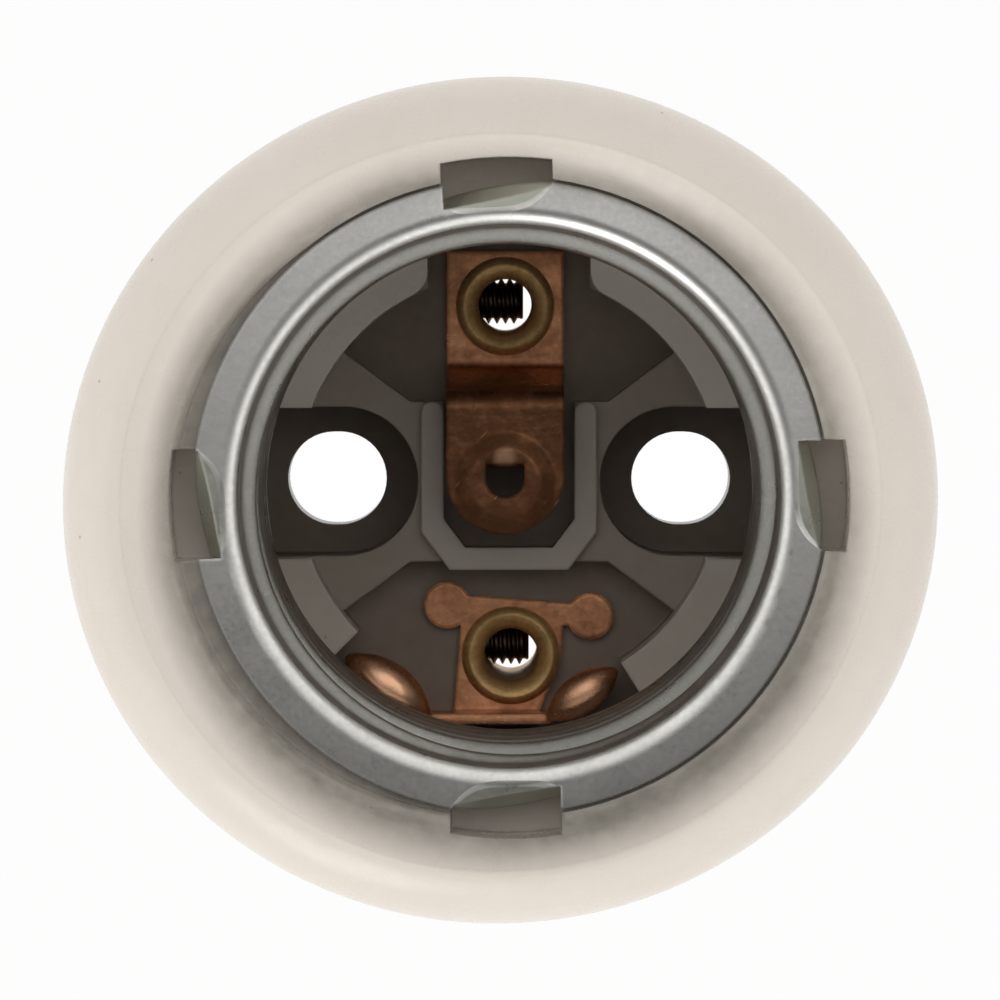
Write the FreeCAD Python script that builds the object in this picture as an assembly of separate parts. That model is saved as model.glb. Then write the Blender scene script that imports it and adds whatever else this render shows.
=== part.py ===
import FreeCAD, Part
import math
import os
from FreeCAD import Vector

# Porcelain screw lamp holder for a 27 mm lamp cap, in millimetres.
# Z = 0 is the back face that lies on the wall or in the fitting, and +Z is the mouth.

# Porcelain body: outside
body_height = 47.2
lip_radius = 20.9
lip_crest_radius = 18.2
lip_depth = 8.6
lip_shoulder_in = 0.42
lip_shoulder_down = 0.11
lip_under_in = 0.33
lip_under_down = 0.78
lip_slope_sag = 0.22
barrel_radius = 18.7
barrel_draft = 0.25
base_edge = 0.8
lip_oval = 1.017
lip_oval_turn = 8.0
lip_shift_x = -0.42
lip_shift_y = -0.2

# Porcelain body: the shell's seat and the bore
seat_depth = 3.0
seat_step = 0.15
bore_clearance = 0.05
tab_pocket_depth = 2.6
tab_pocket_reach = 0.95
tab_pocket_clearance = 0.08

# Porcelain body: the relief of the floor
ledge_z = 22.7
ledge_inner_radius = 10.9
ledge_corner = 1.3
floor_z = 19.0
recess_z = 17.0
rib_height = 0.6
rib_wall = 1.14
rib_chamfer = 1.5
rib_outer_chamfer = 1.95
rib_chamfer_slant = 0.75
tongue_room = 0.35
tongue_end_room = 0.75
channel_half_width = 4.2
recess_edge_y = 4.15
recess_corner_x = 5.15
recess_vertex_angle = 38.0
side_opening_from = 224.5
side_opening_to = 302.0
side_opening_room = 1.5
foot_slot_left = 4.3
foot_slot_right = 1.55
foot_slot_gap = 0.3
foot_slot_width = 0.8
foot_slot_depth = 4.0

# Mounting holes
mounting_spacing = 18.1
mounting_slot_width = 4.9
mounting_slot_length = 5.2
mounting_web_bottom_z = 8.5
mounting_relief = 0.42
head_recess_radius = 3.9
head_recess_shift = 0.45
head_recess_wall_x = 12.75
head_recess_z = 12.5

# Terminal chambers, open to the back and to one side for the screwdriver
web_bottom_z = 11.0
chamber_clearance = 0.5
chamber_corner = 1.0
driver_way_clearance = 0.7

# Threaded shell: rolled from sheet, with a flat flange
sheet = 0.35
thread_pitch = 3.63
thread_major_radius = 13.25
thread_depth = 0.9
thread_run_out = 2.4
shell_bottom_gap = 0.5
shell_plain_end = 0.9
shell_plain_top = 0.4
flange_width = 1.35
flange_bend = 0.9
rings_per_turn = 10
poles_per_ring = 24

# Lanced tabs that lock the flange in the porcelain
tab_turns = (2.2, 91.4, 179.5, 270.4)
tab_width = 5.3
tab_hinge_inset = 1.15
tab_hinge_curve = 2.5
tab_run_out_edge = 0.15
tab_grip = 0.3
tab_bend_start = 62.0
tab_bend_end = 30.0
tab_sections = 7

# Centre contact
contact_thickness = 0.5
centre_contact_width = 6.1
centre_plate_reach = 2.85
centre_plate_inner_y = 5.63
centre_riser_run = 1.45
tongue_top_z = 22.0
tongue_end_y = -2.67
tongue_hole_width = 1.96
tongue_hole_length = 2.1
tongue_hole_y = 0.31
dome_radius = 2.65
dome_top_radius = 1.8
dome_height = 0.35
bend_radius = 0.4

# Side contact
side_contact_turn = -4.4
ear_radius = 1.22
ear_spacing = 7.46
ear_shift = 0.22
ear_ahead = 2.35
ear_bar_half_width = 0.6
side_plate_left = 2.75
side_plate_right = 2.6
side_plate_right_end = 1.6
upstand_clearance = 0.35
upstand_height = 3.4
upstand_left = 4.1
upstand_right = 2.0
finger_thickness = 0.4
finger_end_radius = 0.12
left_wing_turn = 143.0
left_wing_length = 5.4
left_finger_bulge = 1.3
right_wing_turn = 35.5
right_wing_length = 4.4
right_finger_bulge = 1.05

# Terminal posts
terminal_spacing = 18.2
centre_terminal_x = -0.2
side_terminal_x = 0.1
post_bore_radius = 1.4
post_neck_radius = 2.0
post_neck_clearance = 0.15
post_flare_radius = 2.55
post_flare_height = 0.75
post_mouth_radius = 1.75
post_mouth_drop = 0.19
post_width = 7.0
post_depth = 6.4
post_back_z = 3.0
post_edge = 0.4

# Terminal screws
screw_radius = 1.25
screw_running_clearance = 0.03
screw_z = 6.5
screw_rise = 0.2
screw_tip_gap = 0.45
screw_tip_chamfer = 0.3
screw_length = 6.4
screw_head_radius = 2.2
screw_head_height = 1.6
screw_head_edge = 0.25
screw_slot_width = 0.6
screw_slot_depth = 0.8

# Places that follow from the sizes above
seat_z = body_height - seat_depth
flange_radius = thread_major_radius + flange_bend + flange_width
tab_hinge_radius = flange_radius - tab_hinge_inset
flange_top_z = seat_z + sheet
bore_radius = thread_major_radius + flange_bend + bore_clearance
seat_radius = flange_radius + seat_step
shell_bottom_z = ledge_z + shell_bottom_gap
terminal_y = terminal_spacing / 2
plate_top_z = recess_z + contact_thickness
upstand_reach = terminal_y + post_flare_radius + upstand_clearance + contact_thickness
side_opening_radius = upstand_reach + side_opening_room
mounting_x = mounting_spacing / 2
head_recess_x = mounting_x - head_recess_shift
tongue_bottom_z = tongue_top_z - contact_thickness
rib_inner_half = centre_contact_width / 2 + tongue_room
rib_inner_bottom = tongue_end_y - tongue_end_room
through = 1.0
fit_tolerance = 0.0005
near = 0.01
round_quarter = math.sqrt(0.5)

Z = Vector(0, 0, 1)
X = Vector(1, 0, 0)
CENTRE = Vector(0, 0, 0)


def face_of(edges):
    return Part.Face(Part.Wire(edges))


def polygon(points, z):
    corners = [Vector(x, y, z) for x, y in points]
    return Part.Face(Part.makePolygon(corners + corners[:1]))


def prism(points, bottom, top):
    return polygon(points, bottom).extrude(Z * (top - bottom))


def cylinder(radius, bottom, top, x=0.0, y=0.0):
    return Part.makeCylinder(radius, top - bottom, Vector(x, y, bottom), Z)


def block(x0, x1, y0, y1, z0, z1):
    return Part.makeBox(x1 - x0, y1 - y0, z1 - z0, Vector(x0, y0, z0))


def upright_edges(solid, places):
    """The vertical edges of a solid that stand at the given (x, y) places."""
    found = []
    for edge in solid.Edges:
        low, high = edge.Vertexes[0].Point, edge.Vertexes[-1].Point
        if math.hypot(low.x - high.x, low.y - high.y) > near or abs(low.z - high.z) < near:
            continue
        if any(math.hypot(low.x - x, low.y - y) < near for x, y in places):
            found.append(edge)
    return found


def write(shape, name):
    """Each sub-part is one solid in a file of its own."""
    shape.Solids[0].exportStep(os.path.join("parts", name + ".step"))


# Porcelain body: pressed in a die and turned at the lip, then glazed and fired

def porcelain_blank():
    """A drafted barrel under a thick rolled lip, oval and off centre from firing, its foot flat."""
    lip_bottom = body_height - lip_depth
    neck = barrel_radius + barrel_draft
    lip_bulge = lip_radius - neck
    crest = Vector(lip_crest_radius, 0, body_height)
    widest = Vector(lip_radius, 0, body_height - lip_depth / 2)
    shoulder = Vector(lip_radius - lip_bulge * lip_shoulder_in, 0,
                      body_height - lip_depth * lip_shoulder_down)
    under = Vector(lip_radius - lip_bulge * lip_under_in, 0,
                   body_height - lip_depth * lip_under_down)
    throat = Vector(seat_radius, 0, seat_z)
    slope = Vector((seat_radius + lip_crest_radius) / 2, 0,
                   body_height - seat_depth * lip_slope_sag)
    foot = Vector(barrel_radius - base_edge, 0, 0)
    heel = Vector(barrel_radius, 0, base_edge)
    heel_inset = base_edge * (1 - round_quarter)
    heel_middle = Vector(barrel_radius - heel_inset, 0, heel_inset)
    neck_point = Vector(neck, 0, lip_bottom)
    outline = [
        Part.LineSegment(CENTRE - Z * through, foot - Z * through).toShape(),
        Part.LineSegment(foot - Z * through, foot).toShape(),
        Part.Arc(foot, heel_middle, heel).toShape(),
        Part.LineSegment(heel, neck_point).toShape(),
        Part.Arc(neck_point, under, widest).toShape(),
        Part.Arc(widest, shoulder, crest).toShape(),
        Part.Arc(crest, slope, throat).toShape(),
        Part.LineSegment(throat, Vector(0, 0, seat_z)).toShape(),
        Part.LineSegment(Vector(0, 0, seat_z), CENTRE - Z * through).toShape(),
    ]
    blank = face_of(outline).revolve(CENTRE, Z, 360)
    stretch = FreeCAD.Matrix()
    stretch.scale(Vector(lip_oval, 1 / lip_oval, 1))
    blank = blank.transformGeometry(stretch)
    blank.rotate(CENTRE, Z, lip_oval_turn)
    blank.translate(Vector(lip_shift_x, lip_shift_y, 0))
    ground_off = cylinder(lip_radius + through, -2 * through, 0)
    return blank.cut(ground_off)


def fan_recess(side):
    """The sunk fan behind each contact: straight inner edge, two diagonals, round outside."""
    vertex = math.radians(recess_vertex_angle)
    reach = ledge_inner_radius
    vertex_x, vertex_y = reach * math.cos(vertex), reach * math.sin(vertex)
    outline = [
        (-recess_corner_x, side * recess_edge_y),
        (recess_corner_x, side * recess_edge_y),
        (vertex_x, side * vertex_y),
        (vertex_x, side * (reach + through)),
        (-vertex_x, side * (reach + through)),
        (-vertex_x, side * vertex_y),
    ]
    fan = prism(outline, recess_z, ledge_z)
    return fan.common(cylinder(ledge_inner_radius, recess_z, ledge_z))


def ring_sector(inner, outer, from_degrees, to_degrees, bottom, top):
    start, end = math.radians(from_degrees), math.radians(to_degrees)
    reach = (outer + through) / math.cos((end - start) / 4)
    wedge = [(0, 0)]
    for angle in (start, (start + end) / 2, end):
        wedge.append((reach * math.cos(angle), reach * math.sin(angle)))
    ring = cylinder(outer, bottom, top).cut(cylinder(inner, bottom, top))
    return prism(wedge, bottom, top).common(ring)


def side_contact_opening():
    """The gap in the ledge where the side contact stands."""
    return ring_sector(ledge_inner_radius - through, side_opening_radius,
                       side_opening_from, side_opening_to, recess_z, ledge_z + through)


def foot_slot():
    """The deep slot in the floor behind the side contact."""
    near_y = upstand_reach + foot_slot_gap
    low, high = recess_z - foot_slot_depth, recess_z + through
    slot = block(-foot_slot_left, foot_slot_right, -near_y - foot_slot_width, -near_y, low, high)
    return slot.common(cylinder(side_opening_radius, low, high))


def rib_outline(half_width, bottom, top, chamfer):
    return [
        (-half_width, top),
        (-half_width, bottom + chamfer),
        (-half_width + chamfer * rib_chamfer_slant, bottom),
        (half_width - chamfer * rib_chamfer_slant, bottom),
        (half_width, bottom + chamfer),
        (half_width, top),
    ]


def tongue_pocket():
    outline = rib_outline(rib_inner_half, rib_inner_bottom, recess_edge_y + rib_wall, rib_chamfer)
    return prism(outline, recess_z, floor_z + rib_height + through)


def rib():
    """The raised rib round the tongue, open at the top, with rounded ends."""
    top = recess_edge_y - rib_wall / 2
    outer = rib_outline(rib_inner_half + rib_wall, rib_inner_bottom - rib_wall, top,
                        rib_outer_chamfer)
    inner = rib_outline(rib_inner_half, rib_inner_bottom, top + through, rib_chamfer)
    low, high = recess_z - rib_height, floor_z + rib_height
    wall = prism(outer, low, high).cut(prism(inner, low, high))
    end_x = rib_inner_half + rib_wall / 2
    for x in (-end_x, end_x):
        wall = wall.fuse(cylinder(rib_wall / 2, low, high, x, top))
    return wall.removeSplitter()


def head_recess(side):
    """The D-shaped well that takes the head of a mounting screw."""
    high = ledge_z + through
    round_end = cylinder(head_recess_radius, head_recess_z, high, side * head_recess_x)
    near, far = sorted((side * head_recess_x, side * head_recess_wall_x))
    straight = block(near, far, -head_recess_radius, head_recess_radius, head_recess_z, high)
    return round_end.fuse(straight)


def oblong(x, radius, bottom, top):
    half = (mounting_slot_length - mounting_slot_width) / 2
    slot = block(x - half, x + half, -radius, radius, bottom, top)
    for end in (x - half, x + half):
        slot = slot.fuse(cylinder(radius, bottom, top, end))
    return slot


def mounting_slot(side):
    """An oblong hole through the web, a little wider below it so that the core pin lets go."""
    x, radius = side * mounting_x, mounting_slot_width / 2
    slot = oblong(x, radius, 0, head_recess_z + through)
    return slot.fuse(oblong(x, radius + mounting_relief, -through, mounting_web_bottom_z))


def terminal_chamber(x, y):
    """The room for a post, with a way in from the left for wire and screwdriver."""
    half_x = post_width / 2 + chamber_clearance
    half_y = post_depth / 2 + chamber_clearance
    room = block(x - half_x, x + half_x, y - half_y, y + half_y, -through, web_bottom_z)
    corners = [(x + sx * half_x, y + sy * half_y) for sx in (-1, 1) for sy in (-1, 1)]
    room = room.makeFillet(chamber_corner, upright_edges(room, corners))
    way_half = screw_head_radius + driver_way_clearance
    way_y = y + screw_rise
    reach = -(lip_radius + through)
    way = block(reach, x, way_y - way_half, way_y + way_half, -through, screw_z)
    arch = Part.makeCylinder(way_half, x - reach, Vector(reach, way_y, screw_z), X)
    return room.fuse(way).fuse(arch)


def tab_pocket(turn):
    """A pocket in the seat that the pressed-down tab of the flange bites into."""
    half = tab_width / 2 + tab_pocket_clearance
    pocket = block(-half, half, bore_radius - through, seat_radius + tab_pocket_reach,
                   seat_z - tab_pocket_depth, body_height + through)
    pocket = pocket.common(cylinder(seat_radius + tab_pocket_reach, seat_z - tab_pocket_depth,
                                    body_height + through))
    pocket.rotate(CENTRE, Z, turn)
    return pocket


def porcelain_body():
    body = porcelain_blank()
    body = body.cut(cylinder(bore_radius, ledge_z, body_height + through))
    body = body.cut(cylinder(seat_radius, seat_z, body_height + through))
    body = body.cut(cylinder(ledge_inner_radius, floor_z, ledge_z + through))
    body = body.cut(side_contact_opening()).cut(foot_slot())
    channel_end = side_opening_radius
    channel = block(-channel_half_width, channel_half_width, recess_edge_y + rib_wall, channel_end,
                    recess_z, ledge_z + through)
    body = body.cut(channel.common(cylinder(channel_end, recess_z, ledge_z + through)))
    corner_y = math.sqrt(ledge_inner_radius ** 2 - channel_half_width ** 2)
    corners = [(-channel_half_width, corner_y), (channel_half_width, corner_y)]
    body = body.makeFillet(ledge_corner, upright_edges(body, corners))
    for side in (1, -1):
        body = body.cut(fan_recess(side))
    body = body.cut(tongue_pocket())
    body = body.fuse(rib())
    for side in (1, -1):
        body = body.cut(head_recess(side))
        body = body.cut(mounting_slot(side))
    for x, y in ((centre_terminal_x, terminal_y), (side_terminal_x, -terminal_y)):
        body = body.cut(terminal_chamber(x, y))
        hole = cylinder(post_neck_radius + post_neck_clearance, 0, recess_z + through, x, y)
        body = body.cut(hole)
    for turn in tab_turns:
        body = body.cut(tab_pocket(turn))
    return body.removeSplitter()


# Threaded shell: drawn from zinc-plated sheet, thread rolled in, tabs lanced and pressed down

def spline_gain(step_angle):
    """How far a cubic spline reaches towards its poles when they follow a wave."""
    return (2 + math.cos(step_angle)) / 3


def rolled_skin(wall):
    """One side of the rolled sheet: rings of poles whose centres walk round a helix.

    Where the helix grows out of the axis, the ring shrinks by as much, so the crest stays
    at the major radius and the thread fades in and out as a rolled one does.
    """
    low, high = shell_bottom_z, flange_top_z - flange_bend
    steps = round((high - low) / thread_pitch * rings_per_turn)
    rise = (high - low) / steps
    ring_gain = spline_gain(2 * math.pi / poles_per_ring)
    helix_gain = spline_gain(2 * math.pi * rise / thread_pitch)
    rings = []
    for step in range(-1, steps + 2):
        z = low + rise * step
        into = min(z - low - shell_plain_end, high - shell_plain_top - z) / thread_run_out
        fade = (1 - math.cos(math.pi * min(max(into, 0), 1))) / 2
        shift = fade * thread_depth / 2
        radius = (thread_major_radius + wall - shift) / ring_gain
        climb = 2 * math.pi * (z - low) / thread_pitch
        centre = Vector(math.cos(climb), math.sin(climb), 0) * (shift / helix_gain) + Z * z
        ring = []
        for index in range(poles_per_ring):
            angle = 2 * math.pi * (index - 1) / poles_per_ring
            ring.append(centre + Vector(math.cos(angle), math.sin(angle), 0) * radius)
        rings.append(ring)
    degree = 3
    up_knots = [float(knot) for knot in range(len(rings) + degree + 1)]
    round_knots = [float(knot) for knot in range(poles_per_ring + 1)]
    skin = Part.BSplineSurface()
    skin.buildFromPolesMultsKnots(rings, [1] * len(up_knots), [1] * len(round_knots),
                                  up_knots, round_knots, False, True, degree, degree)
    skin.segment(float(degree), float(len(rings)), 0.0, float(poles_per_ring))
    return skin.toShape()


def end_edge(skin, z):
    """The closed edge of a skin at height z."""
    for edge in skin.Edges:
        if abs(edge.BoundBox.ZMin - z) < near and abs(edge.BoundBox.ZMax - z) < near:
            return edge


def flange():
    """The flat flange and the bend that leads down into the screw."""
    top = flange_top_z
    low = top - flange_bend
    inner = thread_major_radius
    turn = math.radians(45)
    bend_centre = Vector(inner + flange_bend, 0, low)
    outer_bend = flange_bend
    inner_bend = flange_bend - sheet

    def on_bend(radius, angle):
        return bend_centre + Vector(-radius * math.cos(angle), 0, radius * math.sin(angle))

    edges = [
        Part.Arc(on_bend(outer_bend, 0), on_bend(outer_bend, turn), on_bend(outer_bend, 2 * turn)),
        Part.LineSegment(on_bend(outer_bend, 2 * turn), Vector(flange_radius, 0, top)),
        Part.LineSegment(Vector(flange_radius, 0, top), Vector(flange_radius, 0, top - sheet)),
        Part.LineSegment(Vector(flange_radius, 0, top - sheet), on_bend(inner_bend, 2 * turn)),
        Part.Arc(on_bend(inner_bend, 2 * turn), on_bend(inner_bend, turn), on_bend(inner_bend, 0)),
        Part.LineSegment(on_bend(inner_bend, 0), on_bend(outer_bend, 0)),
    ]
    return face_of([edge.toShape() for edge in edges]).revolve(CENTRE, Z, 360)


def tab_hinge(share):
    """Radius of the tab's bend line, from the cut end (0) to where it runs out (1)."""
    run_out_radius = flange_radius - tab_run_out_edge
    return tab_hinge_radius + (run_out_radius - tab_hinge_radius) * share ** tab_hinge_curve


def lanced_tab():
    """One tab at the top: sheared at its left end, pressed down, rising to the right."""
    sections = []
    for index in range(tab_sections):
        share = index / (tab_sections - 1)
        x = tab_width * share - tab_width / 2
        hinge_y = math.sqrt(tab_hinge(share) ** 2 - x ** 2)
        length = math.sqrt(flange_radius ** 2 - x ** 2) - hinge_y
        bend = math.radians(tab_bend_start + (tab_bend_end - tab_bend_start) * share)
        out = (math.cos(bend), -math.sin(bend))
        tip = (hinge_y + length * out[0], flange_top_z + length * out[1])
        under_tip = (tip[0] + sheet * out[1], tip[1] - sheet * out[0])
        under_hinge = (hinge_y - sheet * math.tan(bend / 2), seat_z)
        outline = [(hinge_y - tab_grip, flange_top_z), (hinge_y, flange_top_z), tip,
                   under_tip, under_hinge, (hinge_y - tab_grip, seat_z)]
        corners = [Vector(x, y, z) for y, z in outline]
        sections.append(Part.makePolygon(corners + corners[:1]))
    return Part.makeLoft(sections, True, False)


def lance_cut():
    """Where the tab takes the flange's place: its wall lies within the tab's flat grip."""
    points = []
    for index in range(tab_sections):
        share = index / (tab_sections - 1)
        x = tab_width * share - tab_width / 2
        hinge_y = math.sqrt(tab_hinge(share) ** 2 - x ** 2)
        points.append(Vector(x, hinge_y - tab_grip / 2, 0))
    bend_line = Part.BSplineCurve()
    bend_line.interpolate(points)
    first, last = points[0], points[-1]
    beyond = flange_radius + through
    corner_right, corner_left = Vector(last.x, beyond, 0), Vector(first.x, beyond, 0)
    outline = [
        bend_line.toShape(),
        Part.LineSegment(last, corner_right).toShape(),
        Part.LineSegment(corner_right, corner_left).toShape(),
        Part.LineSegment(corner_left, first).toShape(),
    ]
    cut = face_of(outline).extrude(Z * (sheet + 2 * through))
    cut.translate(Z * (seat_z - through))
    return cut


def rolled_tube():
    """The screw: both sides of the sheet, closed by a flat ring at each end."""
    outside, inside = rolled_skin(sheet), rolled_skin(0.0)
    ends = []
    for z in (shell_bottom_z, flange_top_z - flange_bend):
        rings = [Part.Wire(end_edge(skin, z)) for skin in (outside, inside)]
        ends.append(Part.Face(rings))
    tube = Part.makeSolid(Part.makeShell([outside, inside] + ends))
    tube.fix(fit_tolerance, fit_tolerance, fit_tolerance)
    return tube


def threaded_shell():
    rim = flange()
    for turn in tab_turns:
        cut, tab = lance_cut(), lanced_tab()
        cut.rotate(CENTRE, Z, turn)
        tab.rotate(CENTRE, Z, turn)
        rim = rim.cut(cut).fuse(tab)
    return rolled_tube().fuse([rim], fit_tolerance)


# Centre contact: one copper strip, bent twice and pierced

def centre_contact():
    plate_end = terminal_y + centre_plate_reach
    riser_top = centre_plate_inner_y - centre_riser_run
    low, high = recess_z, tongue_bottom_z
    thick = contact_thickness
    slope = math.atan2(high - low, centre_riser_run)
    shift = thick * math.tan(slope / 2)
    profile = [
        (plate_end, low),
        (centre_plate_inner_y, low),
        (riser_top, high),
        (tongue_end_y, high),
        (tongue_end_y, high + thick),
        (riser_top + shift, high + thick),
        (centre_plate_inner_y + shift, low + thick),
        (plate_end, low + thick),
    ]
    half = centre_contact_width / 2
    corners = [Vector(-half, y, z) for y, z in profile]
    strip = Part.Face(Part.makePolygon(corners + corners[:1])).extrude(X * centre_contact_width)
    inner_bends = [(profile[1], bend_radius + thick), (profile[2], bend_radius),
                   (profile[5], bend_radius + thick), (profile[6], bend_radius)]
    for (y, z), radius in inner_bends:
        edges = [edge for edge in strip.Edges
                 if abs(edge.CenterOfMass.x) < near
                 and math.hypot(edge.CenterOfMass.y - y, edge.CenterOfMass.z - z) < near]
        strip = strip.makeFillet(radius, edges)
    plan = block(-half, half, tongue_end_y + half, plate_end, low - through, high + through)
    plan = plan.fuse(cylinder(half, low - through, high + through, 0, tongue_end_y + half))
    strip = strip.common(plan)
    dome = Part.makeCone(dome_radius, dome_top_radius, dome_height, Z * tongue_top_z, Z)
    hollow = Part.makeCone(dome_radius, dome_top_radius, dome_height, Z * tongue_bottom_z, Z)
    strip = strip.fuse(dome).cut(hollow)
    hole_half = tongue_hole_width / 2
    hole_top = tongue_hole_y + tongue_hole_length / 2
    hole_bottom = tongue_hole_y - tongue_hole_length / 2 + hole_half
    hole = block(-hole_half, hole_half, hole_bottom, hole_top, high - through, high + through)
    hole = hole.fuse(cylinder(hole_half, high - through, high + through, 0, hole_bottom))
    strip = strip.cut(hole).fuse(turned_lip(hole_half, hole_top))
    strip.translate(X * centre_terminal_x)
    return strip.cut(cylinder(post_neck_radius, low, plate_top_z, centre_terminal_x, terminal_y))


def turned_lip(half_width, hole_top):
    """The edge of the tongue's hole, turned down into it."""
    top = tongue_top_z + dome_height
    radius = contact_thickness
    axis = Vector(-half_width, hole_top, top - radius)
    bend = Part.makeCylinder(radius, 2 * half_width, axis, X)
    quarter = block(-half_width, half_width, hole_top - radius, hole_top, top - radius, top)
    return bend.common(quarter)


# Side contact: copper plate with two ears, and an upstand with two winged fingers

def side_plate():
    y = -terminal_y
    bar_y = y + ear_ahead
    low, high = recess_z, plate_top_z
    left = ear_shift - ear_spacing / 2
    right = ear_shift + ear_spacing / 2
    half = ear_bar_half_width
    end_y = contact_thickness / 2 - upstand_reach
    plate = block(left, right, bar_y - half, bar_y + half, low, high)
    for x in (left, right):
        plate = plate.fuse(cylinder(ear_radius, low, high, x, bar_y))
    body = [(-side_plate_left, bar_y), (side_plate_right, bar_y), (side_plate_right, y),
            (side_plate_right_end, end_y), (-side_plate_left, end_y)]
    plate = plate.fuse(prism(body, low, high))
    plate = plate.cut(cylinder(post_neck_radius, low, high, 0, y))
    plate.translate(X * side_terminal_x)
    plate.rotate(Vector(side_terminal_x, y, 0), Z, side_contact_turn)
    return plate


def finger(root_x, wing_turn, wing_length, bulge):
    """A wing of the upstand, with a hollow leaf on it that narrows to both ends."""
    half = wing_length / 2
    leaves = []
    for inset in (0, finger_thickness):
        end_x = half - 2 * inset
        corners = [Vector(end_x, finger_end_radius, 0), Vector(end_x, 0, 0),
                   Vector(-end_x, 0, 0), Vector(-end_x, finger_end_radius, 0)]
        edges = [Part.LineSegment(a, b).toShape() for a, b in zip(corners, corners[1:])]
        edges.append(Part.Arc(corners[3], Vector(0, bulge - inset, 0), corners[0]).toShape())
        leaves.append(face_of(edges).revolve(CENTRE, X, 360))
    leaf = leaves[0].cut(leaves[1]).common(block(-half, half, -bulge, bulge, 0, bulge))
    leaf.translate(Vector(half, 0, recess_z + upstand_height))
    thick = contact_thickness / 2
    low, high = recess_z, recess_z + upstand_height
    wing = block(0, wing_length - finger_thickness, -thick, thick, low, high)
    wing = wing.fuse(cylinder(thick, low, high)).fuse(leaf)
    wing.rotate(CENTRE, Z, wing_turn)
    wing.translate(Vector(root_x, thick - upstand_reach, 0))
    return wing


def side_contact():
    upstand = block(-upstand_left, upstand_right, -upstand_reach,
                    contact_thickness - upstand_reach, recess_z, recess_z + upstand_height)
    piece = side_plate().fuse(upstand)
    left = finger(-upstand_left, left_wing_turn, left_wing_length, left_finger_bulge)
    right = finger(upstand_right, right_wing_turn, right_wing_length, right_finger_bulge)
    return piece.fuse(left).fuse(right).removeSplitter()


# Terminal posts: square brass, bored for the wire, the neck flared over the contact

def terminal_post(x, y):
    flare_top = plate_top_z + post_flare_height
    barrel_top = web_bottom_z
    barrel = block(-post_width / 2, post_width / 2, -post_depth / 2, post_depth / 2,
                   post_back_z, barrel_top)
    barrel = barrel.makeChamfer(post_edge, barrel.Edges)
    neck_bottom = barrel_top - through
    lip_middle = (post_flare_radius + post_mouth_radius) / 2
    flare_belly = lip_middle + (post_flare_radius - lip_middle) * round_quarter
    neck = [
        Part.LineSegment(Vector(0, 0, neck_bottom), Vector(post_neck_radius, 0, neck_bottom)),
        Part.LineSegment(Vector(post_neck_radius, 0, neck_bottom),
                         Vector(post_neck_radius, 0, plate_top_z)),
        Part.LineSegment(Vector(post_neck_radius, 0, plate_top_z),
                         Vector(post_flare_radius, 0, plate_top_z)),
        Part.Arc(Vector(post_flare_radius, 0, plate_top_z),
                 Vector(flare_belly, 0, plate_top_z + post_flare_height * round_quarter),
                 Vector(lip_middle, 0, flare_top)),
        Part.Arc(Vector(lip_middle, 0, flare_top),
                 Vector(post_mouth_radius, 0, flare_top - post_mouth_drop),
                 Vector(post_bore_radius, 0, plate_top_z)),
        Part.LineSegment(Vector(post_bore_radius, 0, plate_top_z), Vector(0, 0, plate_top_z)),
        Part.LineSegment(Vector(0, 0, plate_top_z), Vector(0, 0, neck_bottom)),
    ]
    post = barrel.fuse(face_of([edge.toShape() for edge in neck]).revolve(CENTRE, Z, 360))
    post = post.cut(cylinder(post_bore_radius, post_back_z - through, flare_top))
    cross_start = -post_width / 2 - through
    cross = Part.makeCylinder(screw_radius + screw_running_clearance, post_bore_radius - cross_start,
                              Vector(cross_start, screw_rise, screw_z), X)
    post = post.cut(cross)
    post.translate(Vector(x, y, 0))
    return post.removeSplitter()


# Terminal screws: slotted cheese head, shown half way in

def terminal_screw(x, y):
    tip_x = post_bore_radius - screw_tip_gap
    shank = Part.makeCylinder(screw_radius, screw_length, Vector(tip_x, 0, 0), X * -1)
    tip = [edge for edge in shank.Edges
           if abs(edge.BoundBox.XMin - tip_x) < near and abs(edge.BoundBox.XMax - tip_x) < near]
    shank = shank.makeChamfer(screw_tip_chamfer, tip)
    under_head = tip_x - screw_length
    head_end = under_head - screw_head_height
    head = Part.makeCylinder(screw_head_radius, screw_head_height, Vector(under_head, 0, 0), X * -1)
    rim = [edge for edge in head.Edges if abs(edge.BoundBox.XMax - head_end) < near]
    head = head.makeFillet(screw_head_edge, rim)
    slot = block(head_end - through, head_end + screw_slot_depth, -screw_head_radius - through,
                 screw_head_radius + through, -screw_slot_width / 2, screw_slot_width / 2)
    screw = shank.fuse(head).cut(slot)
    screw.translate(Vector(x, y + screw_rise, screw_z))
    return screw.removeSplitter()


os.makedirs("parts", exist_ok=True)
write(porcelain_body(), "porcelain_body")
write(threaded_shell(), "threaded_shell")
write(centre_contact(), "centre_contact")
write(side_contact(), "side_contact")
write(terminal_post(centre_terminal_x, terminal_y), "centre_terminal_post")
write(terminal_post(side_terminal_x, -terminal_y), "side_terminal_post")
write(terminal_screw(centre_terminal_x, terminal_y), "centre_terminal_screw")
write(terminal_screw(side_terminal_x, -terminal_y), "side_terminal_screw")
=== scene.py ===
from math import pi, radians

import bmesh
import bpy
from mathutils import Matrix, Vector


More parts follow.
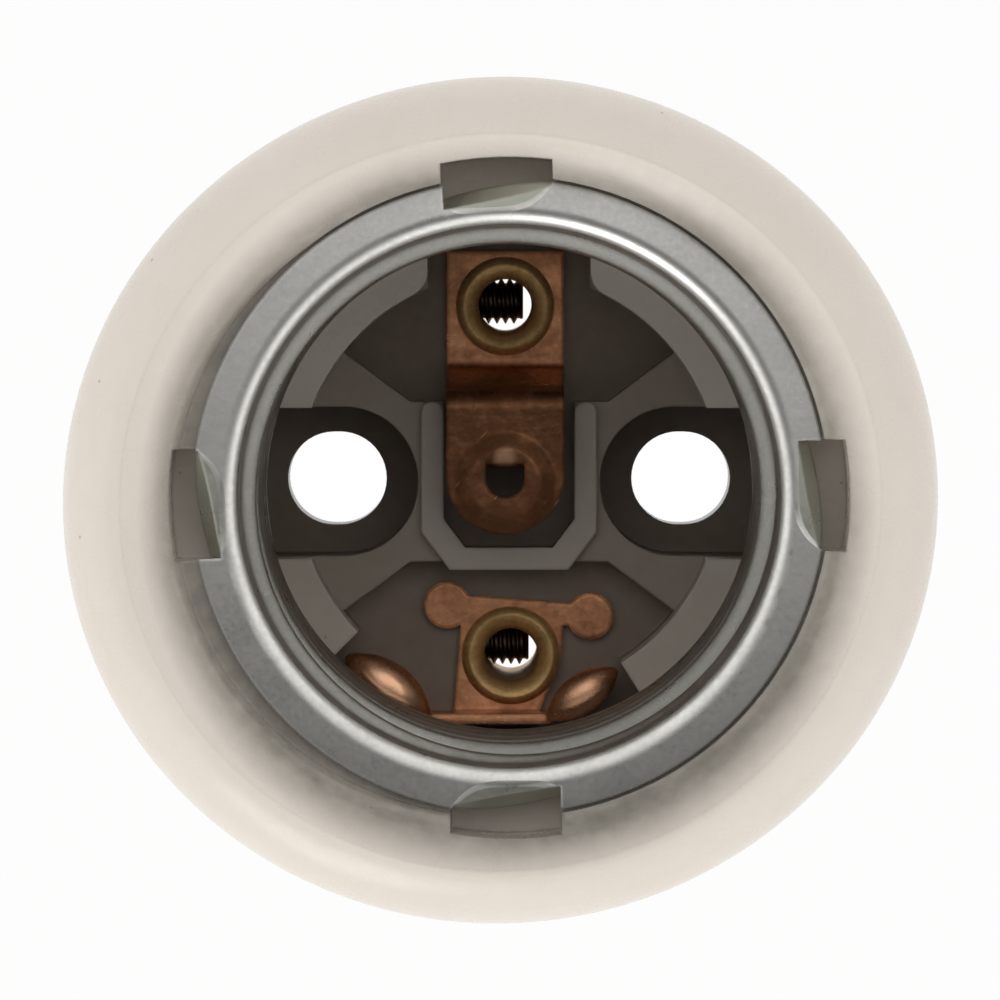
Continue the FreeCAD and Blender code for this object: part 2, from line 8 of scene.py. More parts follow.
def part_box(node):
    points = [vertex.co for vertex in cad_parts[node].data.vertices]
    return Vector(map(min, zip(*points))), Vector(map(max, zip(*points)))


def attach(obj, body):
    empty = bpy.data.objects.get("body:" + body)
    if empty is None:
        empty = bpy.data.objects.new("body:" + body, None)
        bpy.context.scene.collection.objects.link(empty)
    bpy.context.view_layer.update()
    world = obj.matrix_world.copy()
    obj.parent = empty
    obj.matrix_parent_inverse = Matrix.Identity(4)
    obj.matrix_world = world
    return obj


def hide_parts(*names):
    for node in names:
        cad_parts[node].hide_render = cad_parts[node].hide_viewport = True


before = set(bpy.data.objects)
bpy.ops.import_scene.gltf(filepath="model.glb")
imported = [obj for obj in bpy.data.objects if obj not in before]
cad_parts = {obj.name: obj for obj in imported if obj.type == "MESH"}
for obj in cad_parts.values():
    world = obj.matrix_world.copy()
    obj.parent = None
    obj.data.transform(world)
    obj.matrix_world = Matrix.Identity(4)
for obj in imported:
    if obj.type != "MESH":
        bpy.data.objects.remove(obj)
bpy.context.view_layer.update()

MM = 0.001

# Camera, light and ground.
# The holder stands on its back face and is seen straight into the mouth, from 40 cm above
# the rim and a little towards +Y, so that the floor of the cup lies higher in the picture.
rim_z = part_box("threaded_shell")[1][2]
camera_height = 400 * MM
camera_lean = 12.5 * MM
picture_width_at_rim = 48.8 * MM
look_at = Vector((-0.44 * MM, -0.15 * MM, rim_z))

camera_data = bpy.data.cameras.new("camera")
camera_data.sensor_width = 36.0
camera_data.lens = camera_data.sensor_width * camera_height / picture_width_at_rim
camera_data.clip_start = 0.01
camera_data.clip_end = 20.0
camera = bpy.data.objects.new("camera", camera_data)
camera.location = Vector((0.0, camera_lean, rim_z + camera_height))
forward = (look_at - camera.location).normalized()
right = forward.cross(Vector((0.0, 1.0, 0.0))).normalized()
camera.rotation_euler = Matrix((right, right.cross(forward), -forward)).transposed().to_euler()
bpy.context.scene.collection.objects.link(camera)
bpy.context.scene.camera = camera
bpy.context.scene.view_settings.view_transform = "Standard"


def node_in(tree, kind, **values):
    """A node with its named properties and input sockets set."""
    node = tree.nodes.new(kind)
    for name, value in values.items():
        if hasattr(node, name):
            setattr(node, name, value)
        else:
            node.inputs[name.replace("_", " ")].default_value = value
    return node


# The room is a pale tent, bright round the sides and most so on the near side. Straight
# above, where the camera stands, it is darker, and there the near side is the darker one.
near_side = (-0.14, -0.99, 0.0)
tent_top_start = 0.56
tent_top_end = 0.95
tent_colour = (1.0, 0.985, 0.965, 1.0)
white_light = (1.0, 1.0, 1.0, 1.0)
# Each glow has the lean towards the near side at which it starts and ends to change, and
# its strength at either end.
side_glow = (-1.0, 1.0, 0.98, 1.20)
top_glow = (-0.24, 0.07, 0.86, 0.09)

world = bpy.data.worlds.new("tent")
bpy.context.scene.world = world
world.use_nodes = True
tent = world.node_tree
tent.nodes.clear()
direction = node_in(tent, "ShaderNodeTexCoord")
axes = node_in(tent, "ShaderNodeSeparateXYZ")
leaning = node_in(tent, "ShaderNodeVectorMath", operation="DOT_PRODUCT")
leaning.inputs[1].default_value = near_side
above = node_in(tent, "ShaderNodeMapRange", interpolation_type="SMOOTHSTEP")
above.inputs["From Min"].default_value = tent_top_start
above.inputs["From Max"].default_value = tent_top_end
round_the_sides = node_in(tent, "ShaderNodeMapRange")
overhead = node_in(tent, "ShaderNodeMapRange")
for node, glow_there in ((round_the_sides, side_glow), (overhead, top_glow)):
    start, end, far, near = glow_there
    node.inputs["From Min"].default_value = start
    node.inputs["From Max"].default_value = end
    node.inputs["To Min"].default_value = far
    node.inputs["To Max"].default_value = near
strength = node_in(tent, "ShaderNodeMix", data_type="FLOAT")
seen = node_in(tent, "ShaderNodeLightPath")
glow = node_in(tent, "ShaderNodeBackground", Color=tent_colour)
plain = node_in(tent, "ShaderNodeBackground", Color=white_light, Strength=1.0)
choose = node_in(tent, "ShaderNodeMixShader")
world_out = node_in(tent, "ShaderNodeOutputWorld")
tent.links.new(direction.outputs["Generated"], axes.inputs["Vector"])
tent.links.new(direction.outputs["Generated"], leaning.inputs[0])
tent.links.new(axes.outputs["Z"], above.inputs["Value"])
tent.links.new(leaning.outputs["Value"], round_the_sides.inputs["Value"])
tent.links.new(leaning.outputs["Value"], overhead.inputs["Value"])
tent.links.new(above.outputs["Result"], strength.inputs["Factor"])
tent.links.new(round_the_sides.outputs["Result"], strength.inputs[2])
tent.links.new(overhead.outputs["Result"], strength.inputs[3])
tent.links.new(strength.outputs[0], glow.inputs["Strength"])
tent.links.new(seen.outputs["Is Camera Ray"], choose.inputs["Fac"])
tent.links.new(glow.outputs["Background"], choose.inputs[1])
tent.links.new(plain.outputs["Background"], choose.inputs[2])
tent.links.new(choose.outputs["Shader"], world_out.inputs["Surface"])

key_size = 0.6
key_power = 2.2
key_colour = (1.0, 0.98, 0.95)
key_place = Vector((-0.35, -0.85, 0.55))
key_data = bpy.data.lights.new("key", "AREA")
key_data.shape = "DISK"
key_data.size = key_size
key_data.energy = key_power
key_data.color = key_colour
key = bpy.data.objects.new("key", key_data)
key.location = key_place
key.rotation_euler = (-key.location).to_track_quat("-Z", "Y").to_euler()
bpy.context.scene.collection.objects.link(key)

# The ground is white paper. Seen directly it is as bright as the room, and under the holder it
# glows fully, a painted light where the holder's shadow falls, so the two mounting holes show
# white right through. Away from the holder it keeps its shadow.
ground_half = 1.5
glow_radius = 16 * MM
glow_edge = 3 * MM
outer_glow = 0.94
paper_colour = (0.86, 0.86, 0.855, 1.0)

sheet = bmesh.new()
bmesh.ops.create_grid(sheet, x_segments=1, y_segments=1, size=ground_half)
ground_mesh = bpy.data.meshes.new("ground")
sheet.to_mesh(ground_mesh)
sheet.free()
ground = bpy.data.objects.new("ground", ground_mesh)
bpy.context.scene.collection.objects.link(ground)

paper = bpy.data.materials.new("paper")
paper.use_nodes = True
tree = paper.node_tree
tree.nodes.clear()
place = node_in(tree, "ShaderNodeTexCoord")
distance = node_in(tree, "ShaderNodeVectorMath", operation="LENGTH")
# Painted light: under the holder the paper glows fully where its shadow falls.
glow_under_holder = node_in(tree, "ShaderNodeMapRange")
glow_under_holder.inputs["From Min"].default_value = glow_radius
glow_under_holder.inputs["From Max"].default_value = glow_radius + glow_edge
glow_under_holder.inputs["To Min"].default_value = 1.0
glow_under_holder.inputs["To Max"].default_value = outer_glow
path = node_in(tree, "ShaderNodeLightPath")
camera_or_gloss = node_in(tree, "ShaderNodeMath", operation="ADD", use_clamp=True)
or_through = node_in(tree, "ShaderNodeMath", operation="ADD", use_clamp=True)
share = node_in(tree, "ShaderNodeMath", operation="MULTIPLY")
matt = node_in(tree, "ShaderNodeBsdfDiffuse", Color=paper_colour)
white = node_in(tree, "ShaderNodeEmission", Color=white_light, Strength=1.0)
blend = node_in(tree, "ShaderNodeMixShader")
out = node_in(tree, "ShaderNodeOutputMaterial")
tree.links.new(place.outputs["Object"], distance.inputs[0])
tree.links.new(distance.outputs["Value"], glow_under_holder.inputs["Value"])
tree.links.new(path.outputs["Is Camera Ray"], camera_or_gloss.inputs[0])
tree.links.new(path.outputs["Is Glossy Ray"], camera_or_gloss.inputs[1])
tree.links.new(camera_or_gloss.outputs["Value"], or_through.inputs[0])
tree.links.new(path.outputs["Is Transmission Ray"], or_through.inputs[1])
tree.links.new(or_through.outputs["Value"], share.inputs[0])
tree.links.new(glow_under_holder.outputs["Result"], share.inputs[1])
tree.links.new(share.outputs["Value"], blend.inputs["Fac"])
tree.links.new(matt.outputs["BSDF"], blend.inputs[1])
tree.links.new(white.outputs["Emission"], blend.inputs[2])
tree.links.new(blend.outputs["Shader"], out.inputs["Surface"])
ground_mesh.materials.append(paper)


# Porcelain body.
# Pressed from wet clay in a steel die, glazed, and fired, which leaves it a little oval.
# Iron in the clay shows as fine dark specks under the glaze, which pools in slow waves.
porcelain_colour = (0.790, 0.732, 0.665, 1.0)
porcelain_shade = (0.640, 0.577, 0.508, 1.0)
speck_colour = (0.21, 0.18, 0.15, 1.0)
cloud_pattern = (7 * MM, 0.9 * MM, 0.4)
cloud_shade = 0.25
glaze_roughness = (0.24, 0.30)
glaze_edge = 0.25 * MM
glaze_ior = 1.5
wave_length = 3.2 * MM
wave_height = 0.07 * MM
peel_length = 0.55 * MM
peel_height = 0.006 * MM
speck_spacing = 2.6 * MM
speck_size = 0.11 * MM
speck_core = 0.3
speck_strength = 0.6
mottle_low = 0.3
mottle_high = 0.7


def mottle_group():
    """Slow patches with a finer grain on them, 0 to 1, as on fired clay or dull metal."""
    group = bpy.data.node_groups.new("mottle", "ShaderNodeTree")
    face = group.interface
    face.new_socket("Patch Size", in_out="INPUT", socket_type="NodeSocketFloat")
    face.new_socket("Grain Size", in_out="INPUT", socket_type="NodeSocketFloat")
    face.new_socket("Grain Share", in_out="INPUT", socket_type="NodeSocketFloat")
    face.new_socket("Mask", in_out="OUTPUT", socket_type="NodeSocketFloat")
    given = group.nodes.new("NodeGroupInput")
    result = group.nodes.new("NodeGroupOutput")
    place = node_in(group, "ShaderNodeTexCoord")
    for name, detail in (("Patch Size", 3.0), ("Grain Size", 2.0)):
        count = node_in(group, "ShaderNodeMath", operation="DIVIDE")
        count.inputs[0].default_value = 1.0
        noise = node_in(group, "ShaderNodeTexNoise", Detail=detail, Roughness=0.55)
        noise.name = name
        group.links.new(given.outputs[name], count.inputs[1])
        group.links.new(count.outputs["Value"], noise.inputs["Scale"])
        group.links.new(place.outputs["Object"], noise.inputs["Vector"])
    join = node_in(group, "ShaderNodeMix", data_type="FLOAT")
    group.links.new(given.outputs["Grain Share"], join.inputs["Factor"])
    group.links.new(group.nodes["Patch Size"].outputs["Fac"], join.inputs[2])
    group.links.new(group.nodes["Grain Size"].outputs["Fac"], join.inputs[3])
    spread = node_in(group, "ShaderNodeMapRange")
    spread.inputs["From Min"].default_value = mottle_low
    spread.inputs["From Max"].default_value = mottle_high
    group.links.new(join.outputs[0], spread.inputs["Value"])
    group.links.new(spread.outputs["Result"], result.inputs["Mask"])
    return group


mottle = mottle_group()


def new_finish(name):
    """A material with a Principled shader, and the parts of it that the finishes use."""
    finish = bpy.data.materials.new(name)
    finish.use_nodes = True
    tree = finish.node_tree
    return finish, tree, tree.nodes["Principled BSDF"]


def mottled(tree, pattern):
    """The mottle group placed in a finish: patch size and grain size, and the grain's share."""
    patch, grain, share = pattern
    node = tree.nodes.new("ShaderNodeGroup")
    node.node_tree = mottle
    node.inputs["Patch Size"].default_value = patch
    node.inputs["Grain Size"].default_value = grain
    node.inputs["Grain Share"].default_value = share
    return node.outputs["Mask"]


def mixed(tree, factor, first, second):
    """Two colours mixed by a mask. Each is a plain colour or an output."""
    mix = tree.nodes.new("ShaderNodeMix")
    mix.data_type = "RGBA"
    tree.links.new(factor, mix.inputs["Factor"])
    for socket, colour in ((mix.inputs[6], first), (mix.inputs[7], second)):
        if isinstance(colour, tuple):
            socket.default_value = colour
        else:
            tree.links.new(colour, socket)
    return mix.outputs[2]


def ranged(tree, value, low, high, to_low, to_high):
    """A value carried from one range to another, and held at its ends."""
    node = tree.nodes.new("ShaderNodeMapRange")
    node.inputs["From Min"].default_value = low
    node.inputs["From Max"].default_value = high
    node.inputs["To Min"].default_value = to_low
    node.inputs["To Max"].default_value = to_high
    tree.links.new(value, node.inputs["Value"])
    return node.outputs["Result"]


def bumped(tree, height, distance, below=None):
    """A bump of the given height in metres, on top of another normal if there is one."""
    bump = tree.nodes.new("ShaderNodeBump")
    bump.inputs["Strength"].default_value = 1.0
    bump.inputs["Distance"].default_value = distance
    tree.links.new(height, bump.inputs["Height"])
    if below is not None:
        tree.links.new(below, bump.inputs["Normal"])
    return bump.outputs["Normal"]


def rounded(tree, radius):
    """The normal with every edge rounded off in the shading, as glaze or plating does."""
    edge = tree.nodes.new("ShaderNodeBevel")
    edge.samples = 4
    edge.inputs["Radius"].default_value = radius
    return edge.outputs["Normal"]


# Edges get a painted highlight, paler the more the rounded normal leans from the true one.
edge_lean_full = 0.78
edge_lean_none = 0.95
edge_highlight_strength = 0.25


def on_edge(tree, soft_normal):
    """How far the rounded normal leans from the true one: above 0 only along edges."""
    true = node_in(tree, "ShaderNodeNewGeometry")
    agreement = node_in(tree, "ShaderNodeVectorMath", operation="DOT_PRODUCT")
    tree.links.new(soft_normal, agreement.inputs[0])
    tree.links.new(true.outputs["True Normal"], agreement.inputs[1])
    return ranged(tree, agreement.outputs["Value"], edge_lean_full, edge_lean_none,
                  edge_highlight_strength, 0.0)


def calculated(tree, operation, first, second):
    """A sum, product or the like of two values, each a number or an output."""
    node = tree.nodes.new("ShaderNodeMath")
    node.operation = operation
    for socket, value in zip(node.inputs, (first, second)):
        if isinstance(value, (int, float)):
            socket.default_value = value
        else:
            tree.links.new(value, socket)
    return node.outputs["Value"]


def place_in(tree):
    """The place on the part as (vector, height, distance from the lamp's axis, nearness)."""
    place = node_in(tree, "ShaderNodeTexCoord").outputs["Object"]
    axes = node_in(tree, "ShaderNodeSeparateXYZ")
    tree.links.new(place, axes.inputs["Vector"])
    flat = node_in(tree, "ShaderNodeCombineXYZ")
    for axis in ("X", "Y"):
        tree.links.new(axes.outputs[axis], flat.inputs[axis])
    length = node_in(tree, "ShaderNodeVectorMath", operation="LENGTH")
    tree.links.new(flat.outputs["Vector"], length.inputs[0])
    side = node_in(tree, "ShaderNodeVectorMath", operation="NORMALIZE")
    tree.links.new(flat.outputs["Vector"], side.inputs[0])
    leaning = node_in(tree, "ShaderNodeVectorMath", operation="DOT_PRODUCT")
    leaning.inputs[1].default_value = near_side
    tree.links.new(side.outputs["Vector"], leaning.inputs[0])
    return place, axes.outputs["Z"], length.outputs["Value"], leaning.outputs["Value"]


# The floor of the cup is painted darker and browner, a painted shade deepest low in the cup and on
# its near side, and darkest under the hole in the tongue.
# Painted shade also lies in the groove round the flange, and every edge is painted a little paler,
# a painted highlight.
cup_floor_painted_shade = (0.226, 0.165, 0.124, 1.0)
groove_painted_shade = (0.165, 0.150, 0.125, 1.0)
under_hole_painted_shade = (0.050, 0.035, 0.030, 1.0)
ledge_height = 20.6 * MM
deep_shade_height = 18.6 * MM
well_floor = 12.4 * MM
well_reach = 14.4 * MM
shade_fade = 0.3 * MM
deep_shade_on_floor = 0.93
deep_shade_on_near_side = 0.45
near_shade_start = -0.5
near_shade_end = 0.3
deep_shade_thinnest = 0.9
deep_shade_roughness = 0.3
seat_height = 44.1 * MM
pocket_height = 43.0 * MM
under_hole_shade_start = 1.5 * MM
under_hole_shade_end = 2.6 * MM
under_hole_shade_strength = 0.7
groove_start = 16.2 * MM
groove_end = 18.0 * MM
groove_widening = 0.5 * MM
groove_strength = 0.95
groove_far_share = 0.85
groove_thinnest = 0.7

porcelain, tree, shader = new_finish("glazed_porcelain")
place, height, reach, nearness = place_in(tree)
clouds = mottled(tree, cloud_pattern)
shading = calculated(tree, "MULTIPLY", clouds, cloud_shade)
body_colour = mixed(tree, shading, porcelain_colour, porcelain_shade)
speckle = node_in(tree, "ShaderNodeTexVoronoi", Scale=1 / speck_spacing, Randomness=1.0)
tree.links.new(place, speckle.inputs["Vector"])
speck_edge = speck_size / speck_spacing
speck_here = ranged(tree, speckle.outputs["Distance"], speck_core * speck_edge, speck_edge,
                    speck_strength, 0.0)
glaze_colour = mixed(tree, speck_here, body_colour, speck_colour)
# Painted shade: darker and browner low in the cup and towards its near side.
deep = calculated(tree, "MAXIMUM",
                  ranged(tree, height, deep_shade_height, ledge_height, deep_shade_on_floor, 0.0),
                  ranged(tree, nearness, near_shade_start, near_shade_end, 0.0, deep_shade_on_near_side))
above_hole = ranged(tree, height, well_floor - shade_fade, well_floor, 0.0, 1.0)
inside = ranged(tree, reach, well_reach, well_reach + shade_fade, 1.0, 0.0)
deep_shade = calculated(tree, "MULTIPLY", calculated(tree, "MULTIPLY", deep, above_hole), inside)
deep_shade = calculated(tree, "MULTIPLY", deep_shade, ranged(tree, clouds, 0.0, 1.0, deep_shade_thinnest, 1.0))
deep_shaded_colour = mixed(tree, deep_shade, glaze_colour, cup_floor_painted_shade)
# Painted shade in the groove round the flange, wider and stronger on the near side.
wider_there = calculated(tree, "MULTIPLY", nearness, groove_widening)
groove_shade = ranged(tree, calculated(tree, "SUBTRACT", reach, wider_there), groove_start,
                groove_end, groove_strength, 0.0)
for share in (ranged(tree, nearness, -1.0, 1.0, groove_far_share, 1.0),
              ranged(tree, reach, well_reach - shade_fade, well_reach, 0.0, 1.0),
              ranged(tree, clouds, 0.0, 1.0, groove_thinnest, 1.0),
              ranged(tree, height, pocket_height, seat_height, 0.0, 1.0)):
    groove_shade = calculated(tree, "MULTIPLY", groove_shade, share)
shaded_colour = mixed(tree, groove_shade, deep_shaded_colour, groove_painted_shade)
# Painted shade on the floor under the hole in the tongue.
under_tongue_shade = ranged(tree, reach, under_hole_shade_start, under_hole_shade_end, under_hole_shade_strength, 0.0)
shaded_colour = mixed(tree, under_tongue_shade, shaded_colour, under_hole_painted_shade)
soft_normal = rounded(tree, glaze_edge)
# Painted highlight: every edge mixed towards the plain porcelain colour.
tree.links.new(mixed(tree, on_edge(tree, soft_normal), shaded_colour, porcelain_colour),
               shader.inputs["Base Color"])
gloss = ranged(tree, clouds, 0.0, 1.0, *glaze_roughness)
dulled = calculated(tree, "MULTIPLY", deep_shade, deep_shade_roughness)
tree.links.new(calculated(tree, "ADD", gloss, dulled), shader.inputs["Roughness"])
waves = node_in(tree, "ShaderNodeTexNoise", Scale=1 / wave_length, Detail=1.0)
orange_peel = node_in(tree, "ShaderNodeTexNoise", Scale=1 / peel_length, Detail=2.0)
for noise in (waves, orange_peel):
    tree.links.new(place, noise.inputs["Vector"])
wavy = bumped(tree, waves.outputs["Fac"], wave_height, below=soft_normal)
tree.links.new(bumped(tree, orange_peel.outputs["Fac"], peel_height, below=wavy),
               shader.inputs["Normal"])
shader.inputs["IOR"].default_value = glaze_ior
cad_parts["porcelain_body"].data.materials.clear()
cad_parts["porcelain_body"].data.materials.append(porcelain)


# Threaded shell.
# Drawn from zinc-plated sheet with the thread rolled in. The flange is spun smooth, a
# little higher at its inner edge, and four tabs are lanced from it and pressed down.
zinc_colour = (0.800, 0.800, 0.775, 1.0)
zinc_dull = (0.610, 0.610, 0.590, 1.0)
# Painted reflection of the porcelain pocket wall on the tab areas.
tab_painted_reflection = (0.560, 0.575, 0.515, 1.0)
zinc_patches = (3.0 * MM, 0.28 * MM, 0.5)
zinc_ripples = (1.4 * MM, 0.5 * MM, 0.3)
zinc_roughness = (0.38, 0.25)
zinc_edge = 0.22 * MM
flange_crown = 0.075
press_depth = 0.05 * MM
ripple_height = 0.006 * MM
tab_turns = (2.2, 91.4, 179.5, 270.4)
tab_half_width = 2.65 * MM
tab_fold_reach = 13.86 * MM
tab_fold_middle = -0.9 * MM
tab_fold_right = 3.6 * MM
tab_fold_left = 2.35 * MM
tab_fold_rise = 1.33 * MM
tab_fold_power = 4.0
fold_softness = 0.3 * MM
shear_softness = 0.04 * MM


def tab_mask(tree, place, turn):
    """1 on the part of the flange that the press tool drew down with one tab."""
    turned = node_in(tree, "ShaderNodeVectorRotate", rotation_type="Z_AXIS", Angle=-radians(turn))
    tree.links.new(place, turned.inputs["Vector"])
    axes = node_in(tree, "ShaderNodeSeparateXYZ")
    tree.links.new(turned.outputs["Vector"], axes.inputs["Vector"])
    x, y = axes.outputs["X"], axes.outputs["Y"]
    to_right = ranged(tree, x, tab_fold_middle, tab_fold_middle + tab_fold_right, 0.0, 1.0)
    to_left = ranged(tree, x, tab_fold_middle, tab_fold_middle - tab_fold_left, 0.0, 1.0)
    curl = calculated(tree, "POWER", calculated(tree, "ADD", to_right, to_left), tab_fold_power)
    rise = calculated(tree, "MULTIPLY", curl, tab_fold_rise)
    fold = calculated(tree, "ADD", tab_fold_reach, rise)
    beyond = ranged(tree, calculated(tree, "SUBTRACT", y, fold), 0.0, fold_softness, 0.0, 1.0)
    off_middle = calculated(tree, "ABSOLUTE", x, 0.0)
    across = ranged(tree, off_middle, tab_half_width, tab_half_width + shear_softness, 1.0, 0.0)
    return calculated(tree, "MULTIPLY", beyond, across)


zinc, tree, shader = new_finish("zinc_plate")
place, _, reach, _ = place_in(tree)
patches = mottled(tree, zinc_patches)
tabs = tab_mask(tree, place, tab_turns[0])
for turn in tab_turns[1:]:
    tabs = calculated(tree, "MAXIMUM", tabs, tab_mask(tree, place, turn))
plate_colour = mixed(tree, patches, zinc_dull, zinc_colour)
# The tab areas get a painted reflection: darker, greener zinc, as of the porcelain pocket wall
# beside them.
tree.links.new(mixed(tree, tabs, plate_colour, tab_painted_reflection), shader.inputs["Base Color"])
tree.links.new(ranged(tree, patches, 0.0, 1.0, *zinc_roughness), shader.inputs["Roughness"])
shader.inputs["Metallic"].default_value = 1.0
crown = bumped(tree, calculated(tree, "MULTIPLY", reach, -flange_crown), 1.0,
               below=rounded(tree, zinc_edge))
pressed = bumped(tree, tabs, -press_depth, below=crown)
ripples = mottled(tree, zinc_ripples)
tree.links.new(bumped(tree, ripples, ripple_height, below=pressed), shader.inputs["Normal"])
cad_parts["threaded_shell"].data.materials.clear()
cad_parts["threaded_shell"].data.materials.append(zinc)


# Copper contacts.
# Two strips stamped and bent from copper sheet, browned by age. The tongue, where lamps
# make and break, is darkest. The fingers and the lip of the tongue's hole get a painted highlight,
# pale copper where lamps also rub.
copper_bright = (0.800, 0.390, 0.205, 1.0)
copper_brown = (0.330, 0.138, 0.070, 1.0)
copper_burnt = (0.110, 0.045, 0.019, 1.0)
copper_painted_highlight = (1.000, 0.580, 0.370, 1.0)
copper_patches = (2.2 * MM, 0.3 * MM, 0.35)
copper_dents = (1.2 * MM, 0.4 * MM, 0.25)
copper_roughness = (0.42, 0.24)
copper_metallic = 0.88
copper_edge = 0.34 * MM
dent_depth = 0.02 * MM
plate_height = 18.0 * MM
tongue_height = 21.2 * MM
tongue_reach = 5.5 * MM
tongue_fade = 1.5 * MM
burnt_strength = 0.85
blotch_pattern = (1.5 * MM, 0.5 * MM, 0.3)
blotch_start = 0.45
blotch_end = 0.9
blotch_share = 0.72
scratch_length = 1.4 * MM
scratch_width = 0.18 * MM
scratch_turn = -38
scratch_start = 0.73
scratch_end = 0.80
scratch_strength = 0.5
# Painted highlight on the lip of the tongue's hole and the tops of the fingers.
lip_highlight_place = (-0.2 * MM, 1.25 * MM, 22.1 * MM)
lip_radius = 0.75 * MM
lip_fade = 0.35 * MM
lip_strength = 0.55
finger_reach = 8.5 * MM
finger_fade = 1.0 * MM
finger_highlight_from = 20.8 * MM
finger_highlight_to = 21.6 * MM
finger_strength = 0.9
finger_polish = 0.65

copper, tree, shader = new_finish("aged_copper")
place, height, reach, _ = place_in(tree)
patches = mottled(tree, copper_patches)
rubbed = mixed(tree, patches, copper_brown, copper_bright)
burnt = ranged(tree, height, plate_height, tongue_height, 0.0, burnt_strength)
near_axis = ranged(tree, reach, tongue_reach, tongue_reach + tongue_fade, 1.0, 0.0)
burnt = calculated(tree, "MULTIPLY", burnt, near_axis)
blotches = ranged(tree, mottled(tree, blotch_pattern), blotch_start, blotch_end, 1.0, blotch_share)
burnt = calculated(tree, "MULTIPLY", burnt, blotches)
aged = mixed(tree, burnt, rubbed, copper_burnt)
turned = node_in(tree, "ShaderNodeMapping", vector_type="TEXTURE",
                 Rotation=(0.0, 0.0, radians(scratch_turn)),
                 Scale=(scratch_width, scratch_length, scratch_length))
streaks = node_in(tree, "ShaderNodeTexNoise", Scale=1.0, Detail=1.0)
tree.links.new(place, turned.inputs["Vector"])
tree.links.new(turned.outputs["Vector"], streaks.inputs["Vector"])
scratched = ranged(tree, streaks.outputs["Fac"], scratch_start, scratch_end,
                   0.0, scratch_strength)
scratched_colour = mixed(tree, scratched, aged, copper_bright)
# Painted highlight: pale copper on the lip of the tongue's hole and the tops of the fingers, where
# lamps also rub.
from_lip = node_in(tree, "ShaderNodeVectorMath", operation="DISTANCE")
from_lip.inputs[1].default_value = lip_highlight_place
tree.links.new(place, from_lip.inputs[0])
lip_highlight = ranged(tree, from_lip.outputs["Value"], lip_radius - lip_fade, lip_radius,
                  lip_strength, 0.0)
high_up = ranged(tree, height, finger_highlight_from, finger_highlight_to, 0.0, finger_strength)
on_finger = ranged(tree, reach, finger_reach, finger_reach + finger_fade, 0.0, 1.0)
finger_highlight = calculated(tree, "MULTIPLY", high_up, on_finger)
painted_highlight = calculated(tree, "MAXIMUM", lip_highlight, finger_highlight)
tree.links.new(mixed(tree, painted_highlight, scratched_colour, copper_painted_highlight), shader.inputs["Base Color"])
gloss = ranged(tree, patches, 0.0, 1.0, *copper_roughness)
polish = ranged(tree, finger_highlight, 0.0, 1.0, 1.0, finger_polish)
tree.links.new(calculated(tree, "MULTIPLY", gloss, polish), shader.inputs["Roughness"])
shader.inputs["Metallic"].default_value = copper_metallic
dents = mottled(tree, copper_dents)
tree.links.new(bumped(tree, dents, dent_depth, below=rounded(tree, copper_edge)),
               shader.inputs["Normal"])
for name in ("centre_contact", "side_contact"):
    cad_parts[name].data.materials.clear()
    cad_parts[name].data.materials.append(copper)


# Terminal posts.
# Square brass, bored for the wire. The round neck comes up through the porcelain and is
# flared over the contact, which holds both. The brass has aged to a dull brown gold.
brass_colour = (0.900, 0.600, 0.270, 1.0)
brass_dark = (0.520, 0.330, 0.135, 1.0)
brass_patches = (1.3 * MM, 0.22 * MM, 0.4)
brass_tool_marks = (0.8 * MM, 0.3 * MM, 0.3)
brass_roughness = (0.55, 0.42)
brass_metallic = 0.75
brass_edge = 0.12 * MM
tool_mark_depth = 0.012 * MM

brass, tree, shader = new_finish("aged_brass")
patches = mottled(tree, brass_patches)
tree.links.new(mixed(tree, patches, brass_dark, brass_colour), shader.inputs["Base Color"])
tree.links.new(ranged(tree, patches, 0.0, 1.0, *brass_roughness), shader.inputs["Roughness"])
shader.inputs["Metallic"].default_value = brass_metallic
tool_marks = mottled(tree, brass_tool_marks)
tree.links.new(bumped(tree, tool_marks, tool_mark_depth, below=rounded(tree, brass_edge)),
               shader.inputs["Normal"])
for name in ("centre_terminal_post", "side_terminal_post"):
    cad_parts[name].data.materials.clear()
    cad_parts[name].data.materials.append(brass)


# Terminal screws.
# Slotted cheese-head steel screws, one across each post's bore, each with a rolled thread
# that shows against the light when one looks down the bore.
steel_colour = (0.420, 0.385, 0.360, 1.0)
steel_dark = (0.190, 0.155, 0.135, 1.0)
steel_patches = (0.9 * MM, 0.15 * MM, 0.4)
steel_roughness = (0.5, 0.32)

steel, tree, shader = new_finish("dull_steel")
patches = mottled(tree, steel_patches)
tree.links.new(mixed(tree, patches, steel_dark, steel_colour), shader.inputs["Base Color"])
tree.links.new(ranged(tree, patches, 0.0, 1.0, *steel_roughness), shader.inputs["Roughness"])
shader.inputs["Metallic"].default_value = 1.0

thread_pitch = 0.45 * MM
thread_crest = 1.22 * MM
thread_root = 0.94 * MM
crest_width = 0.06 * MM
root_width = 0.10 * MM
steps_per_turn = 36
weld_distance = 0.002 * MM
head_height = 1.6 * MM
head_edge = 0.25 * MM
slot_width = 0.6 * MM
slot_depth = 0.8 * MM
shank_chamfer = 0.3 * MM
hair = 0.001 * MM
sharp_angle = 32


